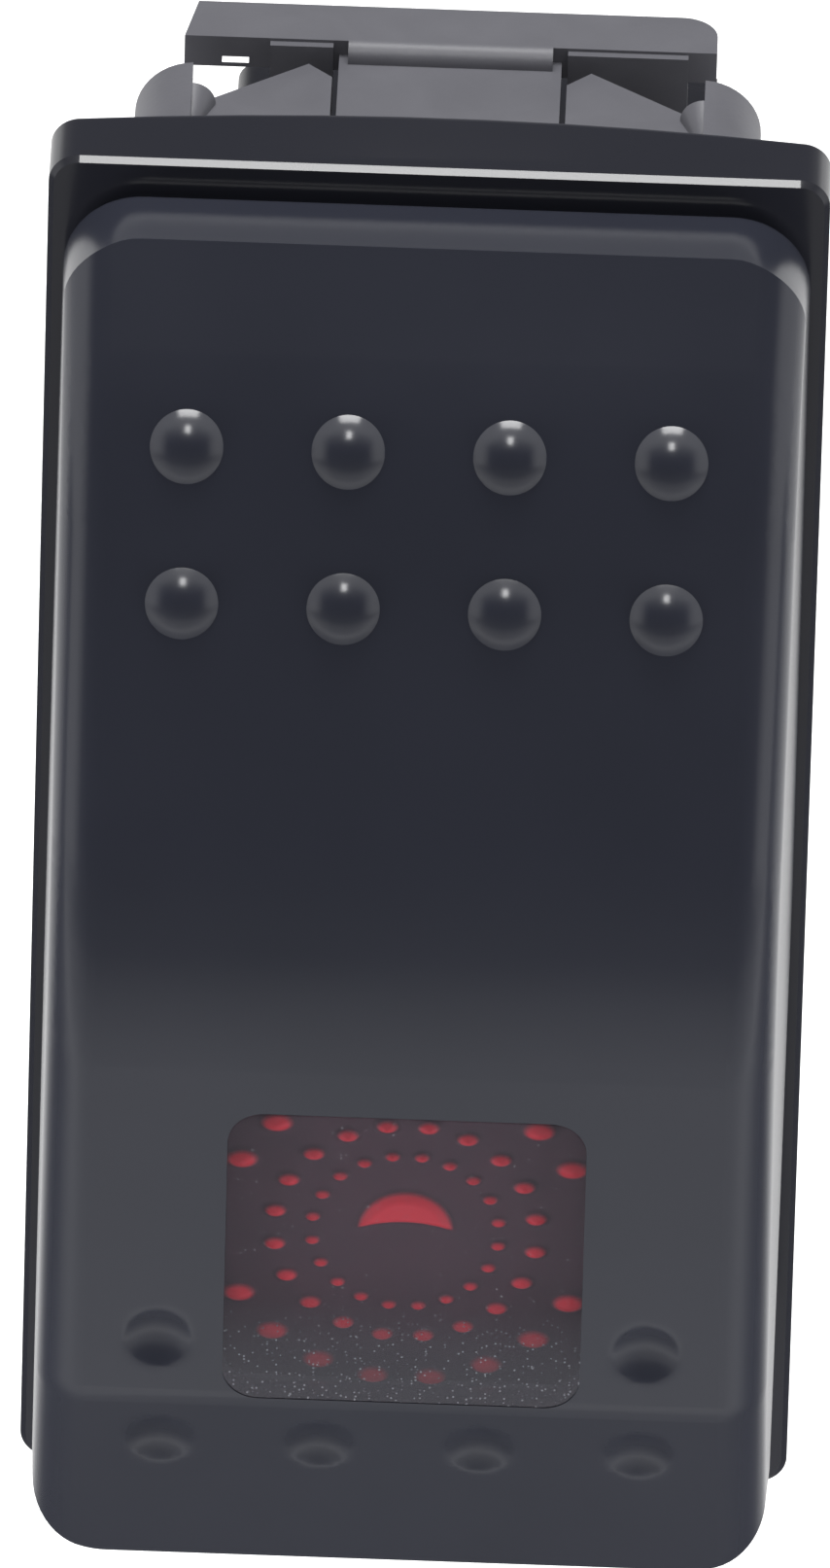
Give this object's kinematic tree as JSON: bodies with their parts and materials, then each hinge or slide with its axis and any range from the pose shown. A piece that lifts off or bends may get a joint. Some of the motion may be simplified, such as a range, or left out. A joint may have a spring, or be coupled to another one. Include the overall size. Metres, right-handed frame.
{
  "type": "illuminated rocker switch",
  "caption": "Panel rocker switch with a crowned black actuator, raised dots and dimples, a smoked red window, a snap-in bezel bracket and blade terminals behind.",
  "frame": {"origin": "middle of the panel cut-out, on the panel's front face", "axes": "-Y outwards to the user, +Z along the switch towards the end with raised dots, +X to the right seen from the front"},
  "size_m": [0.0256, 0.047, 0.0518],
  "materials": {
    "bracket_nylon": "moulded black nylon, glossy on the bezel and dull behind",
    "rocker_plastic": "moulded black polycarbonate with a satin skin",
    "smoked_lens": "clear smoked polycarbonate",
    "diffuser_red": "translucent red polycarbonate",
    "pin_steel": "turned steel",
    "plunger_acetal": "white acetal",
    "spring_steel": "drawn steel wire",
    "base_plastic": "moulded black nylon",
    "potting_epoxy": "cast black epoxy",
    "arm_copper": "stamped copper alloy",
    "contact_silver": "silver alloy",
    "terminal_brass": "stamped brass",
    "lamp_epoxy": "red-tinted epoxy",
    "tinned_wire": "tinned wire",
    "resistor_body": "lacquered ceramic"
  },
  "bodies": {
    "root": {"bezel_bracket": "bracket_nylon", "pivot_pin_left": "pin_steel", "pivot_pin_right": "pin_steel", "base": "base_plastic", "base_lid": "base_plastic", "terminal_potting": "potting_epoxy", "supply_terminal": "terminal_brass", "load_terminal": "terminal_brass", "ground_terminal": "terminal_brass", "fixed_contact": "contact_silver", "lamp": "lamp_epoxy", "lamp_lead_ground": "tinned_wire", "lamp_lead_supply": "tinned_wire", "series_resistor": "resistor_body", "lamp_link": "terminal_brass"},
    "actuator": {"rocker": "rocker_plastic", "lens": "smoked_lens", "diffuser": "diffuser_red", "plunger_spring": "spring_steel"},
    "plunger": {"plunger": "plunger_acetal"},
    "arm": {"contact_arm": "arm_copper", "moving_contact": "contact_silver"}
  },
  "joints": [
    {"name": "rocker_hinge", "type": "hinge", "parent": "root", "child": "actuator", "pos_m": [0, 0.0005, 0], "axis": [1, 0, 0], "range_deg": [0, 15]},
    {"name": "plunger_slide", "type": "slide", "parent": "actuator", "child": "plunger", "axis": [0, -0.9914, 0.1305], "range_m": [0, 0.0006], "stiffness_N_per_m": 300, "springref_m": -0.003, "deforming": ["plunger_spring"]},
    {"name": "arm_seesaw", "type": "hinge", "parent": "root", "child": "arm", "pos_m": [0, 0.0132, 0], "axis": [-1, 0, 0], "range_deg": [0, 12]}
  ],
  "couplings": [
    {"joint": "arm_seesaw", "follows": "rocker_hinge", "ratio": 0.8}
  ]
}
